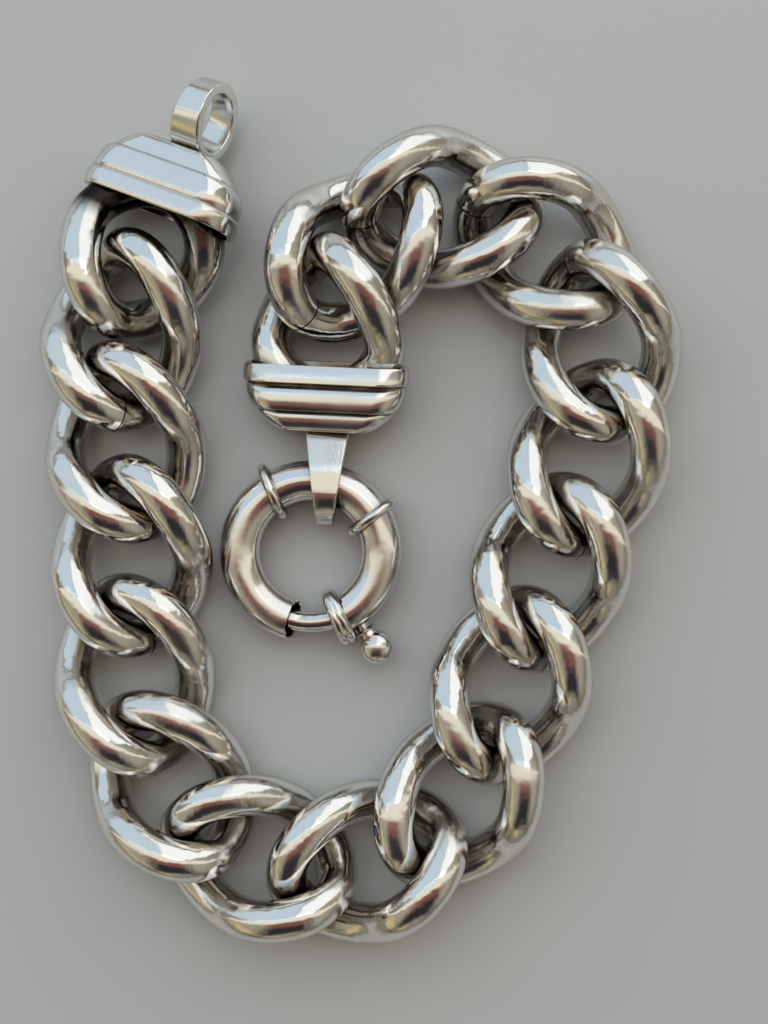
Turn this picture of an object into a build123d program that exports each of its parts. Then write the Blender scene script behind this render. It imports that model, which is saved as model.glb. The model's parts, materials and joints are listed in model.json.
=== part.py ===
from build123d import *
from collections import namedtuple
from math import atan, atan2, cos, degrees, radians, sin, sqrt
import os

# A silver curb chain bracelet with a bolt ring, lying open in a loop on a table.
# Lengths are millimetres. The table is Z = 0 and the loop opens towards the upper left.

# Chain wire and one link
WIRE_DIAMETER = 4.0
LINK_INNER_LENGTH = 12.2
LINK_INNER_WIDTH = 7.8
LINK_CLEARANCE = 0.15
# Height of a strand's crest over half the wire, so that two crossing wires pass each other.
CREST_FACTOR = 1.25
# Slope of the strand at the tip and at mid-strand, as a multiple of crest height over half size.
TIP_STEEPNESS = 2.75
SIDE_STEEPNESS = 3.15

# The first and last links are short and half untwisted where a cap is soldered over them.
CAPPED_HALF_LENGTH = 5.4
EYE_CAP_TWIST = 26.0
CLASP_CAP_TWIST = 14.0
CAPPED_SIDE_SLOPE = 34.0

# Caps
CAP_WIDTH = 16.4
CAP_THICKNESS = 7.2
CAP_LENGTH = 6.6
CAP_WALL = 0.6
CAP_CORNER = 3.0
CAP_CORNER_SHARE = 0.45
EYE_CAP_SETBACK = 3.2
CLASP_CAP_SETBACK = 2.7
CAP_RIM_ROUNDING = 0.3
SOLDER_DEPTH = 0.5

# Eye on the first cap
EYE_BORE = 5.6
EYE_BAND = 1.0
EYE_WIDTH = 3.4
EYE_SOLDER = 0.4
# How far the eye and the bail are soldered to the left of the middle of their caps.
EYE_OFFSET = -0.9
BAIL_OFFSET = 0.3

# Bail on the last cap, which holds the bolt ring
BAIL_LENGTH = 9.3
BAIL_STRAP = 0.8
BAIL_BASE_WIDTH = 4.6
BAIL_TIP_WIDTH = 1.6
BAIL_HEADROOM = 0.65
BAIL_SEAT_GAP = 0.15
BAIL_RING_DISTANCE = 5.05

# Bolt ring
RING_RADIUS = 7.0
TUBE_DIAMETER = 4.0
TUBE_WALL = 0.45
RING_TURN = -12.5
COLLAR_WIRE = 1.05
COLLAR_SEAT = 0.03
BUSH_ARC = 7.0

# Angles round the bolt ring, counted from the bail, counter-clockwise from above
COLLAR_ANGLES = (45.0, -48.0, -142.2, -146.4)
NEAR_MOUTH_ANGLE = -147.0
FAR_MOUTH_ANGLE = -182.0
STEM_ANGLE = -133.0

# Sliding bolt
BOLT_DIAMETER = 1.95
BOLT_CLEARANCE = 0.07
BOLT_TRAVEL = 40.0
BOLT_ENTRY = 5.0
PLUNGER_LEAD = 4.0
PLUNGER_TAIL = 8.0
STEM_DIAMETER = 1.3
STEM_CLEARANCE = 0.15
KNOB_DIAMETER = 3.0
KNOB_DISTANCE = 11.8

# Route of the chain, one row a link from the eye cap to the clasp cap. route is the direction in
# degrees from the link before, reach the step as a share of LINK_INNER_LENGTH, and heading, nose
# and roll turn the link itself: nose lifts its leading end, roll its left side.
Place = namedtuple("Place", "route reach heading nose roll")
CHAIN_ROUTE = (
    Place(route=0, reach=0.00, heading=-113, nose=0, roll=-7),
    Place(route=-105, reach=0.73, heading=-90, nose=3, roll=4),
    Place(route=-89, reach=0.90, heading=-76, nose=2, roll=4),
    Place(route=-86, reach=0.91, heading=-88, nose=-5, roll=1),
    Place(route=-89, reach=0.95, heading=-78, nose=4, roll=-7),
    Place(route=-72, reach=0.92, heading=-55, nose=5, roll=-5),
    Place(route=-39, reach=0.91, heading=-21, nose=2, roll=-9),
    Place(route=-3, reach=0.88, heading=18, nose=2, roll=-9),
    Place(route=35, reach=0.91, heading=56, nose=3, roll=-9),
    Place(route=66, reach=0.97, heading=74, nose=1, roll=-5),
    Place(route=71, reach=0.96, heading=76, nose=-1, roll=-2),
    Place(route=71, reach=0.96, heading=75, nose=1, roll=-7),
    Place(route=85, reach=0.93, heading=100, nose=4, roll=-16),
    Place(route=118, reach=0.88, heading=145, nose=2, roll=-6),
    Place(route=160, reach=0.89, heading=-177, nose=8, roll=-5),
    Place(route=-155, reach=0.78, heading=-132, nose=7, roll=5),
    Place(route=-107, reach=0.73, heading=-92, nose=-11, roll=20),
)

# Tiers of a cap from its mouth to its closed end. start and end are shares of CAP_LENGTH, the
# rest are shares of the cap's width and thickness at each tier's two faces.
Tier = namedtuple("Tier", "start end front_width back_width front_depth back_depth")
CAP_TIERS = (
    Tier(start=0.00, end=0.27, front_width=1.00, back_width=1.00, front_depth=1.00, back_depth=1.00),
    Tier(start=0.27, end=0.66, front_width=0.99, back_width=0.89, front_depth=0.98, back_depth=0.92),
    Tier(start=0.66, end=1.00, front_width=0.84, back_width=0.48, front_depth=0.84, back_depth=0.62),
)
# The hollow of a cap: its size at the bottom as a share of its mouth.
HOLLOW_END_WIDTH = 0.78
HOLLOW_END_DEPTH = 0.80

wire_radius = WIRE_DIAMETER / 2
half_length = (LINK_INNER_LENGTH + WIRE_DIAMETER) / 2
half_width = (LINK_INNER_WIDTH + WIRE_DIAMETER) / 2
crest_height = CREST_FACTOR * (WIRE_DIAMETER + LINK_CLEARANCE) / 2
tip_slope = atan(TIP_STEEPNESS * crest_height / half_width)
side_slope = atan(SIDE_STEEPNESS * crest_height / half_length)

tube_radius = TUBE_DIAMETER / 2
tube_bore = tube_radius - TUBE_WALL
collar_radius = tube_radius - COLLAR_SEAT + COLLAR_WIRE / 2
ring_height = collar_radius + COLLAR_WIRE / 2
bolt_radius = BOLT_DIAMETER / 2

Arc = namedtuple("Arc", "start tangent end")


def quarter_arcs(length, tip_angle, side_angle):
    """Return the two arcs of a strand's front quarter, from the link's tip to mid-strand."""
    start = Vector(length, 0, 0)
    leaving = Vector(0, cos(tip_angle), -sin(tip_angle))
    end = Vector(0, half_width, 0)
    arriving = Vector(-cos(side_angle), 0, sin(side_angle))
    chord = end - start
    lean = chord.dot(leaving + arriving)
    spread = 2 * (1 - leaving.dot(arriving))
    reach = (sqrt(lean**2 + spread * chord.dot(chord)) - lean) / spread
    before = start + leaving * reach
    after = end - arriving * reach
    middle = (before + after) * 0.5
    return [Arc(start, leaving, middle), Arc(middle, (after - before).normalized(), end)]


def arc_frame(arc):
    """Return the centre, axis direction and angle in radians of an arc."""
    chord = arc.end - arc.start
    normal = arc.tangent.cross(chord).normalized()
    inward = normal.cross(arc.tangent)
    radius = chord.dot(chord) / (2 * chord.dot(inward))
    angle = 2 * atan2(chord.dot(inward), chord.dot(arc.tangent))
    return arc.start + inward * radius, normal, angle


def bent_wire(arc):
    """Return one stretch of chain wire, a round bar bent along an arc."""
    centre, normal, angle = arc_frame(arc)
    disc = Plane(origin=arc.start, z_dir=arc.tangent) * Circle(wire_radius)
    return revolve(disc, Axis(centre, normal), degrees(angle))


def arc_points(arc, count=40):
    """Return points along an arc, which show how low the wire hangs."""
    centre, normal, angle = arc_frame(arc)
    arm = arc.start - centre
    side = normal.cross(arm)
    turns = [angle * step / count for step in range(count + 1)]
    return [centre + arm * cos(turn) + side * sin(turn) for turn in turns]


def link_quarters(front_arcs, rear_arcs):
    """Return each quarter's arcs with the rotation that puts it in its place in the link."""
    return (
        (front_arcs, Rotation(0, 0, 0)),
        (rear_arcs, Rotation(0, 180, 0)),
        (front_arcs, Rotation(180, 0, 0)),
        (rear_arcs, Rotation(180, 0, 0) * Rotation(0, 180, 0)),
    )


def link_solid(quarters):
    """Return a closed link, its quarters joined end to end."""
    pieces = [turn * bent_wire(arc) for arcs, turn in quarters for arc in arcs]
    return pieces[0].fuse(*pieces[1:])


def link_points(quarters):
    """Return points along the centreline of a whole link."""
    points = []
    for arcs, turn in quarters:
        for arc in arcs:
            points += [(turn * Pos(*point)).position for point in arc_points(arc)]
    return points


def tilt(place):
    """Return the rotation of a link laid as its row of the route says."""
    return Rotation(0, 0, place.heading) * Rotation(0, -place.nose, 0) * Rotation(place.roll, 0, 0)


def cap_corner(depth):
    """Return the corner radius of a cap where it is so thick."""
    return min(CAP_CORNER, CAP_CORNER_SHARE * depth)


def cap_section(distance, width, depth):
    """Return the rounded outline of a cap at a distance behind its mouth."""
    across = Plane(origin=(distance, 0, 0), x_dir=(0, 1, 0), z_dir=(1, 0, 0))
    return across * RectangleRounded(width, depth, cap_corner(depth))


def cap_solid(setback):
    """Return a hollow cap, its mouth at X = 0 and its closed end towards +X.

    Its hollow is as deep as the link that enters it by that setback needs.
    """
    body = None
    for tier in CAP_TIERS:
        start = tier.start * CAP_LENGTH
        end = tier.end * CAP_LENGTH
        front = (tier.front_width * CAP_WIDTH, tier.front_depth * CAP_THICKNESS)
        back = (tier.back_width * CAP_WIDTH, tier.back_depth * CAP_THICKNESS)
        rim = 2 * CAP_RIM_ROUNDING
        sections = [
            cap_section(start, front[0] - rim, front[1] - rim),
            cap_section(start + CAP_RIM_ROUNDING, *front),
            cap_section(end - CAP_RIM_ROUNDING, *back),
            cap_section(end, back[0] - rim, back[1] - rim),
        ]
        slab = loft(sections, ruled=True)
        body = slab if body is None else body.fuse(slab)
    mouth_width = CAP_WIDTH - 2 * CAP_WALL - 2 * CAP_RIM_ROUNDING
    mouth_depth = CAP_THICKNESS - 2 * CAP_WALL - 2 * CAP_RIM_ROUNDING
    hollow_depth = CAPPED_HALF_LENGTH + wire_radius - setback - SOLDER_DEPTH
    hollow = loft(
        [
            cap_section(0, mouth_width, mouth_depth),
            cap_section(hollow_depth, HOLLOW_END_WIDTH * mouth_width, HOLLOW_END_DEPTH * mouth_depth),
        ],
        ruled=True,
    )
    return body - hollow


def eye_solid():
    """Return the round eye of flat strap, standing in the XZ plane from X = 0."""
    radius = EYE_BORE / 2 + EYE_BAND
    band = Circle(radius) - Circle(EYE_BORE / 2)
    return Pos(radius, 0, 0) * extrude(Plane.XZ * band, EYE_WIDTH / 2, both=True)


def bail_solid():
    """Return the bail that holds the bolt ring: a strap loop from X = 0 that tapers in plan.

    Its middle height is at Z = 0 and its first strap thickness is sunk into the cap.
    """
    height = BAIL_SEAT_GAP + TUBE_DIAMETER + BAIL_HEADROOM + 2 * BAIL_STRAP
    length = BAIL_LENGTH + BAIL_STRAP
    band = SlotOverall(length, height) - SlotOverall(length - 2 * BAIL_STRAP, height - 2 * BAIL_STRAP)
    loop = extrude(Plane.XZ * Pos(length / 2, 0) * band, BAIL_BASE_WIDTH / 2, both=True)
    outline = Polyline(
        (0, -BAIL_BASE_WIDTH / 2),
        (length, -BAIL_TIP_WIDTH / 2),
        (length, BAIL_TIP_WIDTH / 2),
        (0, BAIL_BASE_WIDTH / 2),
        close=True,
    )
    taper = extrude(make_face(outline), height, both=True)
    return Pos(-BAIL_STRAP, 0, 0) * (loop & taper)


def section_low(frame, distance, width, depth):
    """Return the lowest height of a rounded cap section laid in a rotated frame."""
    corner = cap_corner(depth)
    lows = []
    for side in (-1, 1):
        for face in (-1, 1):
            spot = Pos(distance, side * (width / 2 - corner), face * (depth / 2 - corner))
            lows.append((frame * spot).position.Z - corner)
    return min(lows)


def ring_point(radius, angle):
    """Return the frame at an angle round the bolt ring, X outwards and Y counter-clockwise."""
    return Rotation(0, 0, 90 + angle) * Pos(radius, 0, 0)


def ring_sweep(section, start, end):
    """Return a cross-section at the ring's radius swept round its axis between two angles."""
    upright = Plane(origin=(RING_RADIUS, 0, 0), x_dir=(1, 0, 0), z_dir=(0, -1, 0))
    swept = revolve(upright * section, Axis.Z, end - start)
    return Rotation(0, 0, 90 + start) * swept


def outward_bar(radius, length):
    """Return a round bar from the origin along +X."""
    return Plane.YZ * Cylinder(radius, length, align=(Align.CENTER, Align.CENTER, Align.MIN))


def ring_solid():
    """Return the bolt ring lying flat with its centre at the origin."""
    tube = Circle(tube_radius) - Circle(tube_bore)
    body = ring_sweep(tube, NEAR_MOUTH_ANGLE, FAR_MOUTH_ANGLE + 360)
    bush = Circle(tube_bore + TUBE_WALL / 2) - Circle(bolt_radius + BOLT_CLEARANCE)
    body += ring_sweep(bush, NEAR_MOUTH_ANGLE, NEAR_MOUTH_ANGLE + BUSH_ARC)
    collar = Plane.XZ * Torus(collar_radius, COLLAR_WIRE / 2)
    for angle in COLLAR_ANGLES:
        body += ring_point(RING_RADIUS, angle) * collar
    slot_width = STEM_DIAMETER + 2 * STEM_CLEARANCE
    slot = Pos(tube_radius, 0) * Rectangle(2 * tube_radius, slot_width)
    body -= ring_sweep(slot, STEM_ANGLE, STEM_ANGLE + BOLT_TRAVEL)
    for angle in (STEM_ANGLE, STEM_ANGLE + BOLT_TRAVEL):
        body -= ring_point(RING_RADIUS, angle) * outward_bar(slot_width / 2, 2 * tube_radius)
    return body


def bolt_solid():
    """Return the sliding bolt, closed across the ring's mouth, with its plunger, stem and knob."""
    tip_angle = FAR_MOUTH_ANGLE - BOLT_ENTRY
    plunger_radius = tube_bore - BOLT_CLEARANCE
    body = ring_sweep(Circle(bolt_radius), tip_angle, STEM_ANGLE)
    body += ring_sweep(Circle(plunger_radius), STEM_ANGLE - PLUNGER_LEAD, STEM_ANGLE + PLUNGER_TAIL)
    stem = outward_bar(STEM_DIAMETER / 2, KNOB_DISTANCE - RING_RADIUS)
    body += ring_point(RING_RADIUS, STEM_ANGLE) * stem
    return body + ring_point(KNOB_DISTANCE, STEM_ANGLE) * Sphere(KNOB_DIAMETER / 2)


def rest_height(turn, quarters, cap_frame=None):
    """Return how high a turned link stands when its lowest point, or its cap's, is on the table."""
    lows = [(turn * Pos(*point)).position.Z - wire_radius for point in link_points(quarters)]
    if cap_frame:
        for tier in CAP_TIERS:
            front = (tier.start, tier.front_width, tier.front_depth)
            back = (tier.end, tier.back_width, tier.back_depth)
            for share, width, depth in (front, back):
                size = (share * CAP_LENGTH, width * CAP_WIDTH, depth * CAP_THICKNESS)
                lows.append(section_low(turn * cap_frame, *size))
    return -min(lows)


def capped_quarters(cap_twist):
    """Return a link's full quarter and its short one, which enters a cap with some twist left."""
    slope = radians(CAPPED_SIDE_SLOPE)
    full = quarter_arcs(half_length, tip_slope, slope)
    return full, quarter_arcs(CAPPED_HALF_LENGTH, radians(cap_twist), slope)


def eye_end_solid(cap_frame, quarters):
    """Return the first link with its cap and the eye that the bolt ring hooks into."""
    behind = cap_frame * Pos(CAP_LENGTH - EYE_SOLDER, EYE_OFFSET, 0)
    return link_solid(quarters) + cap_frame * cap_solid(EYE_CAP_SETBACK) + behind * eye_solid()


# Link shapes: whole, with the eye cap over the rear half, with the clasp cap over the front half.
whole_quarter = quarter_arcs(half_length, tip_slope, side_slope)
whole_quarters = link_quarters(whole_quarter, whole_quarter)
full_quarter, eye_quarter = capped_quarters(EYE_CAP_TWIST)
first_quarters = link_quarters(full_quarter, eye_quarter)
full_quarter, clasp_quarter = capped_quarters(CLASP_CAP_TWIST)
last_quarters = link_quarters(clasp_quarter, full_quarter)

# Each cap is turned with the twist that its link still has where it enters the mouth.
eye_cap_frame = Rotation(EYE_CAP_TWIST, 0, 0) * Rotation(0, 0, 180) * Pos(EYE_CAP_SETBACK, 0, 0)
clasp_cap_frame = Rotation(-CLASP_CAP_TWIST, 0, 0) * Pos(CLASP_CAP_SETBACK, 0, 0)

# The chain is laid link by link along its route, and each link rests on the table.
whole_link = link_solid(whole_quarters)
last_number = len(CHAIN_ROUTE)
pieces = {}
spot = Vector(0, 0, 0)
for number, place in enumerate(CHAIN_ROUTE, start=1):
    direction = radians(place.route)
    spot += Vector(cos(direction), sin(direction), 0) * place.reach * LINK_INNER_LENGTH
    turn = tilt(place)
    if number == 1:
        height = rest_height(turn, first_quarters, eye_cap_frame)
        pieces["eye_end"] = Pos(spot.X, spot.Y, height) * turn * eye_end_solid(eye_cap_frame, first_quarters)
    elif number < last_number:
        height = rest_height(turn, whole_quarters)
        pieces[f"link_{number:02d}"] = Pos(spot.X, spot.Y, height) * turn * whole_link
    else:
        height = rest_height(turn, last_quarters, clasp_cap_frame)
        last_frame = Pos(spot.X, spot.Y, height) * turn

# The bail lies level behind the last cap, whatever the cap's slope.
cap_back = (last_frame * clasp_cap_frame * Pos(CAP_LENGTH, 0, 0)).position
bail_middle = ring_height + (BAIL_HEADROOM - BAIL_SEAT_GAP) / 2
level = Rotation(0, 0, CHAIN_ROUTE[-1].heading)
bail_frame = Pos(cap_back.X, cap_back.Y, bail_middle) * level * Pos(0, BAIL_OFFSET, 0)
last_link = link_solid(last_quarters) + clasp_cap_frame * cap_solid(CLASP_CAP_SETBACK)
pieces["clasp_end"] = last_frame * last_link + bail_frame * bail_solid()

# The ring's tube passes through the bail, and the ring lies flat on its collars.
tube_seat = (bail_frame * Pos(BAIL_RING_DISTANCE, 0, 0)).position
ring_frame = Pos(tube_seat.X, tube_seat.Y, ring_height) * Rotation(0, 0, RING_TURN) * Pos(0, -RING_RADIUS, 0)
pieces["bolt_ring"] = ring_frame * ring_solid()
pieces["ring_bolt"] = ring_frame * bolt_solid()

# The origin is on the table under the middle of the whole bracelet.
boxes = [piece.bounding_box() for piece in pieces.values()]
middle_x = (min(box.min.X for box in boxes) + max(box.max.X for box in boxes)) / 2
middle_y = (min(box.min.Y for box in boxes) + max(box.max.Y for box in boxes)) / 2
floor = min(box.min.Z for box in boxes)
to_origin = Pos(-middle_x, -middle_y, -floor)

os.makedirs("parts", exist_ok=True)
for name, piece in pieces.items():
    export_step(to_origin * piece, f"parts/{name}.step")
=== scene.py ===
"""Looks of a heavy silver curb chain bracelet with a bolt ring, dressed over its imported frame.

Sizes that are fields are in millimetres and turns in degrees, unless their line says otherwise. Points
that are passed on, and the meshes, are in metres.
"""

import json
import logging
import math
from contextlib import contextmanager
from dataclasses import dataclass
from enum import Enum
from typing import Callable, Iterator, Sequence

import bmesh
import bpy
import numpy as np
from mathutils import Matrix, Vector

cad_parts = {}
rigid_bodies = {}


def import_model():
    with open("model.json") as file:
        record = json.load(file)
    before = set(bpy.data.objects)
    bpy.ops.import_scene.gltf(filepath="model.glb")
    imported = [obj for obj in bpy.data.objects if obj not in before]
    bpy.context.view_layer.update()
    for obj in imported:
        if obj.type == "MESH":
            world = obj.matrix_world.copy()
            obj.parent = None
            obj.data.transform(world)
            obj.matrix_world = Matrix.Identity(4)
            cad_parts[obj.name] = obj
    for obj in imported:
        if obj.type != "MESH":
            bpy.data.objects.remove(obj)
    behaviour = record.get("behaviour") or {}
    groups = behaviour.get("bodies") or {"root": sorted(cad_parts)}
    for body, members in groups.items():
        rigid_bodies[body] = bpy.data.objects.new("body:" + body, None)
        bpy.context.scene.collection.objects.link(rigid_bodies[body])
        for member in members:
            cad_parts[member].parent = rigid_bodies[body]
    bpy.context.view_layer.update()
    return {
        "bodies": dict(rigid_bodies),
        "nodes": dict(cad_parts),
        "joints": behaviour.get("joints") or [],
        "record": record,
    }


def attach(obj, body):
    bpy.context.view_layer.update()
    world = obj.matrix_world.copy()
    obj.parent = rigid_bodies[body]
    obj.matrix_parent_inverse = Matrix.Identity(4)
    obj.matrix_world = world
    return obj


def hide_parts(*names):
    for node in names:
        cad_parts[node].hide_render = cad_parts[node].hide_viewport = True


log = logging.getLogger("bracelet")

MM = 0.001
# Name of the mask that blackens dark seams and paints shade in hollows.
SEAM_AND_SHADE_MASK = "seam_and_shade_black"

Piece = bpy.types.Object
Socket = bpy.types.NodeSocket
Colour = tuple[float, float, float]


class Slot(Enum):
    """The material slots of the record, one named for each kind of piece."""

    LINK = "link_silver"
    FITTING = "fitting_silver"
    RING = "ring_silver"
    BOLT = "bolt_silver"


class Body(Enum):
    """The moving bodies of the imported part."""

    CHAIN = "chain"
    RING = "clasp_ring"
    BOLT = "bolt"


def mm(*values: float) -> Vector:
    """Return a point given in millimetres as a vector in metres."""
    return Vector(values) * MM


def clamped(value: float) -> float:
    """Return a value held between 0 and 1."""
    return min(1.0, max(0.0, value))


def dress(piece: Piece, material: bpy.types.Material, body: Body, slot: Slot, *nodes: str) -> None:
    """Give a finished piece its finish, its body and the nodes it stands for.

    Args:
        piece: The finished piece.
        material: Its finish.
        body: The body it rides on.
        slot: The record's slot; it is not used.
        nodes: The nodes it replaces.
    """
    piece.data.materials.clear()
    piece.data.materials.append(material)
    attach(piece, body.value)
    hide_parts(*nodes)
    log.info("%s: %d faces on %s", piece.name, len(piece.data.polygons), body.value)


class Bench:
    """The operators and selections that every piece is shaped with."""

    @staticmethod
    def clear() -> None:
        """Deselect every object."""
        for other in bpy.context.view_layer.objects:
            other.select_set(False)

    @staticmethod
    def take(piece: Piece) -> None:
        """Make a piece the only selected object, and the active one.

        Args:
            piece: The piece.
        """
        Bench.clear()
        piece.select_set(True)
        bpy.context.view_layer.objects.active = piece

    @staticmethod
    @contextmanager
    def editing(piece: Piece) -> Iterator[None]:
        """Hold a piece in edit mode, in vertex selection.

        Args:
            piece: The object to edit.

        Returns:
            What leaves edit mode again at the end of its block.
        """
        Bench.take(piece)
        bpy.ops.object.mode_set(mode="EDIT")
        bpy.ops.mesh.select_mode(type="VERT")
        yield
        bpy.ops.object.mode_set(mode="OBJECT")

    @staticmethod
    def pick(piece: Piece, test: Callable[[Vector], bool]) -> None:
        """Select the vertices of the edited piece whose place passes a test.

        Args:
            piece: The object in edit mode.
            test: Says whether a vertex at that place is wanted.
        """
        mesh = bmesh.from_edit_mesh(piece.data)
        for part in (mesh.verts, mesh.edges, mesh.faces):
            for item in part:
                item.select = False
        for vertex in mesh.verts:
            vertex.select = test(vertex.co)
        mesh.select_flush(True)
        bmesh.update_edit_mesh(piece.data)

    @staticmethod
    def apply(piece: Piece, kind: str, **settings: object) -> None:
        """Add a modifier with its settings and apply it.

        Args:
            piece: The object that gets it.
            kind: The modifier's type.
            settings: The modifier's properties.
        """
        Bench.take(piece)
        modifier = piece.modifiers.new(kind.lower(), kind)
        for name, value in settings.items():
            setattr(modifier, name, value)
        bpy.ops.object.modifier_apply(modifier=modifier.name)

    @staticmethod
    def settle(piece: Piece) -> None:
        """Put an object's place into its mesh without moving it."""
        Bench.take(piece)
        bpy.ops.object.transform_apply(location=True, rotation=True, scale=True)

    @staticmethod
    def place(piece: Piece, frame: Matrix) -> None:
        """Move a piece to a frame and put that place into its mesh."""
        piece.matrix_world = frame @ piece.matrix_world
        Bench.settle(piece)

    @staticmethod
    def face_out() -> None:
        """Turn all faces of the edited piece outwards."""
        bpy.ops.mesh.select_all(action="SELECT")
        bpy.ops.mesh.normals_make_consistent(inside=False)

    @staticmethod
    def merge(piece: Piece, distance: float = 0.002) -> None:
        """Merge doubles and turn all faces outwards.

        Args:
            piece: The piece.
            distance: How close doubles are, in millimetres.
        """
        with Bench.editing(piece):
            bpy.ops.mesh.select_all(action="SELECT")
            bpy.ops.mesh.remove_doubles(threshold=distance * MM)
            Bench.face_out()

    @staticmethod
    def blacken(piece: Piece, share: Callable[[Vector], float]) -> None:
        """Write how dark a piece is at each of its vertices, for its dark seams and for painted shade in its
        hollows.

        Args:
            piece: The piece.
            share: Says how dark it is at a place, from 0 to 1.
        """
        seam_and_shade_black = piece.data.attributes.new(SEAM_AND_SHADE_MASK, "FLOAT", "POINT")
        for vertex in piece.data.vertices:
            seam_and_shade_black.data[vertex.index].value = share(vertex.co)

    @staticmethod
    def smooth(piece: Piece, angle: float = 35.0) -> None:
        """Shade a piece smooth, with edges sharper than an angle kept."""
        Bench.take(piece)
        bpy.ops.object.shade_smooth_by_angle(angle=math.radians(angle))

    @staticmethod
    def ease_edges(piece: Piece, width: float, segments: int, angle: float) -> None:
        """Round the edges of a piece that are sharper than an angle.

        Args:
            piece: The piece.
            width: Width of the rounding in millimetres.
            segments: Steps across it.
            angle: The angle in degrees.
        """
        Bench.apply(
            piece, "BEVEL", width=width * MM, segments=segments, limit_method="ANGLE",
            angle_limit=math.radians(angle),
        )

    @staticmethod
    def taper(piece: Piece, share: float) -> None:
        """Change a piece's width along X by a share of it over the piece's length."""
        Bench.apply(piece, "SIMPLE_DEFORM", deform_method="TAPER", deform_axis="X", factor=share, lock_z=True)

    @staticmethod
    def set_down(piece: Piece, frame: Matrix, angle: float) -> None:
        """Put a fitting in place and shade it smooth, with its flats kept even.

        Args:
            piece: The fitting.
            frame: Its place.
            angle: The angle in degrees past which an edge stays sharp.
        """
        Bench.place(piece, frame)
        Bench.smooth(piece, angle)
        Bench.apply(piece, "WEIGHTED_NORMAL", keep_sharp=True, weight=60)

    @staticmethod
    def join(pieces: Sequence[Piece]) -> Piece:
        """Join objects into the first of them.

        Args:
            pieces: The objects to join.

        Returns:
            The joined object.
        """
        Bench.take(pieces[0])
        for piece in pieces:
            piece.select_set(True)
        bpy.ops.object.join()
        return pieces[0]

    @staticmethod
    def copy(piece: Piece, name: str) -> Piece:
        """Copy a piece.

        Args:
            piece: The piece.
            name: The copy's name.

        Returns:
            The copy, with its own mesh.
        """
        Bench.take(piece)
        bpy.ops.object.duplicate(linked=False)
        twin = bpy.context.object
        twin.name = name
        return twin

    @staticmethod
    def ring(centre: Vector, normal: Vector, radius: float, sides: int) -> Piece:
        """Add an open circle at a place, ready to be spun or extruded.

        Args:
            centre: Its centre.
            normal: The direction it faces.
            radius: Its radius.
            sides: How many edges it has.

        Returns:
            The circle, with its place in its mesh.
        """
        Bench.clear()
        bpy.ops.mesh.primitive_circle_add(
            vertices=sides, radius=radius, fill_type="NOTHING", location=centre,
            rotation=normal.to_track_quat("Z", "Y").to_euler(),
        )
        piece = bpy.context.object
        Bench.settle(piece)
        return piece

    @staticmethod
    def plate(across: float, deep: float, rounding: float, segments: int) -> Piece:
        """Add a rounded rectangle in the YZ plane at the origin, its one face left in it.

        Args:
            across: Its size along Y.
            deep: Its size along Z.
            rounding: The radius of its corners.
            segments: Edges in each corner.

        Returns:
            The plate.
        """
        Bench.clear()
        bpy.ops.mesh.primitive_plane_add(size=1.0, rotation=(0, -math.pi / 2, 0))
        piece = bpy.context.object
        Bench.settle(piece)
        with Bench.editing(piece):
            bpy.ops.mesh.select_all(action="SELECT")
            bpy.ops.transform.resize(value=(1, across, deep))
            bpy.ops.mesh.bevel(
                offset=rounding, offset_type="OFFSET", segments=segments, profile=0.5, affect="VERTICES",
            )
        return piece

    @staticmethod
    def hollow_out(piece: Piece) -> None:
        """Remove a plate's face and keep its rim.

        Args:
            piece: The plate.
        """
        with Bench.editing(piece):
            bpy.ops.mesh.select_all(action="SELECT")
            bpy.ops.mesh.delete(type="ONLY_FACE")

    @staticmethod
    def draw_out(step: Vector, grow: Vector, centre: Vector) -> None:
        """Extrude the selection by a step, then resize it about a centre by a factor along each axis."""
        bpy.ops.mesh.extrude_region_move(TRANSFORM_OT_translate={"value": step})
        bpy.ops.transform.resize(value=grow, center_override=centre)

    @staticmethod
    def turn_profile(name: str, sides: int, stations: Sequence[tuple[float, float]]) -> Piece:
        """Draw a round piece out along X through its stations, closed at both ends.

        Args:
            name: The piece's name.
            sides: Edges round it.
            stations: Pairs of distance along X and radius there, in millimetres.

        Returns:
            The closed piece.
        """
        place, radius = stations[0]
        piece = Bench.ring(mm(place, 0, 0), Vector((1, 0, 0)), radius * MM, sides)
        piece.name = name
        with Bench.editing(piece):
            bpy.ops.mesh.select_all(action="SELECT")
            bpy.ops.mesh.edge_face_add()
            for new_place, new_radius in stations[1:]:
                share = new_radius / radius
                step = mm(new_place - place, 0, 0)
                Bench.draw_out(step, Vector((1, share, share)), mm(new_place, 0, 0))
                place, radius = new_place, new_radius
            Bench.face_out()
        return piece

    @staticmethod
    def spin(centre: Vector, axis: Vector, angle: float, steps: int) -> None:
        """Spin the selected loop round an axis through a point, right-handed, by an angle in radians."""
        bpy.ops.mesh.spin(steps=steps, angle=-angle, center=centre, axis=axis, use_auto_merge=False)

    @staticmethod
    def spin_round(piece: Piece, centre: Vector, axis: Vector, steps: int) -> None:
        """Spin a section once round an axis and close the loop that it draws.

        Args:
            piece: The section.
            centre: A point on the axis.
            axis: The axis direction.
            steps: In how many steps.
        """
        with Bench.editing(piece):
            bpy.ops.mesh.select_all(action="SELECT")
            Bench.spin(centre, axis, 2 * math.pi, steps)
        Bench.merge(piece)


@dataclass(frozen=True)
class Span:
    """The range of a value that a smooth change takes place over.

    Attributes:
        start: Where it starts.
        end: Where it ends, higher or lower.
    """

    start: float
    end: float

    @classmethod
    def around(cls, middle: float, half: float) -> "Span":
        """Return the range from a half width before a middle to the same past it."""
        return cls(middle - half, middle + half)


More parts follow.
